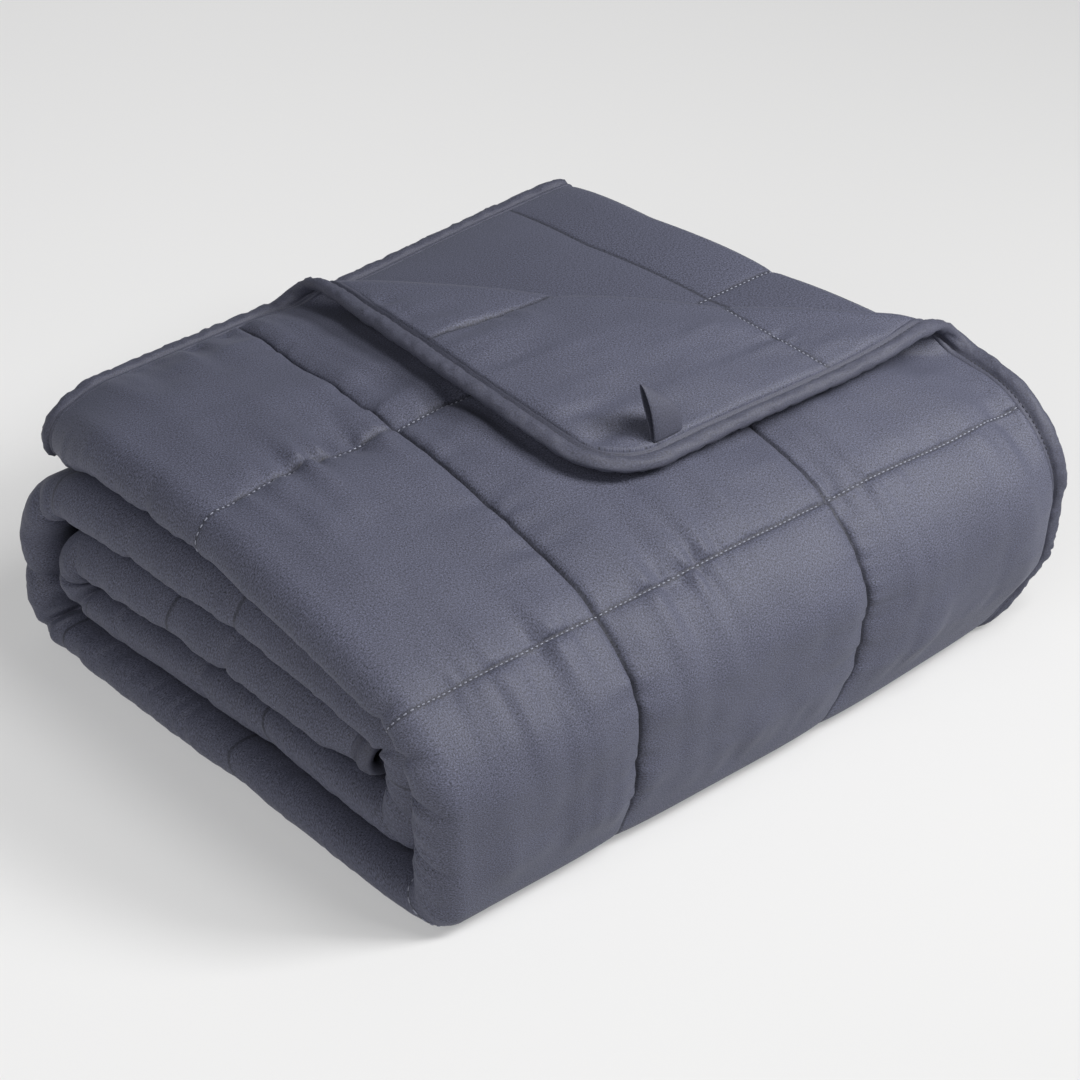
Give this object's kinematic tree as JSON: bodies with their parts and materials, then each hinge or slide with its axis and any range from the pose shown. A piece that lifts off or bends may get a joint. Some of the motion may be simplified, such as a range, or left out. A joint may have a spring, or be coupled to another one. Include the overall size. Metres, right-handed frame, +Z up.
{
  "type": "folded weighted blanket",
  "caption": "Quilted weighted blanket with a bound edge, folded in thirds, wound flat, and one corner turned back to show its sewn loop.",
  "frame": {"origin": "middle of the folded pile's footprint, on the surface it rests on", "axes": "+X along the pile's longer side, towards the open side edges of the folded thirds; -Y is the front, where the top layers bend down; +Z up"},
  "size_m": [0.4396, 0.3642, 0.1797],
  "materials": {
    "quilted_cloth": "matt, finely woven and heathered",
    "binding_tape": "matt tape, puckered along its stitching"
  },
  "bodies": {
    "root": {"quilted_body": "quilted_cloth", "edge_binding": "binding_tape", "corner_loop": "binding_tape"}
  },
  "joints": []
}
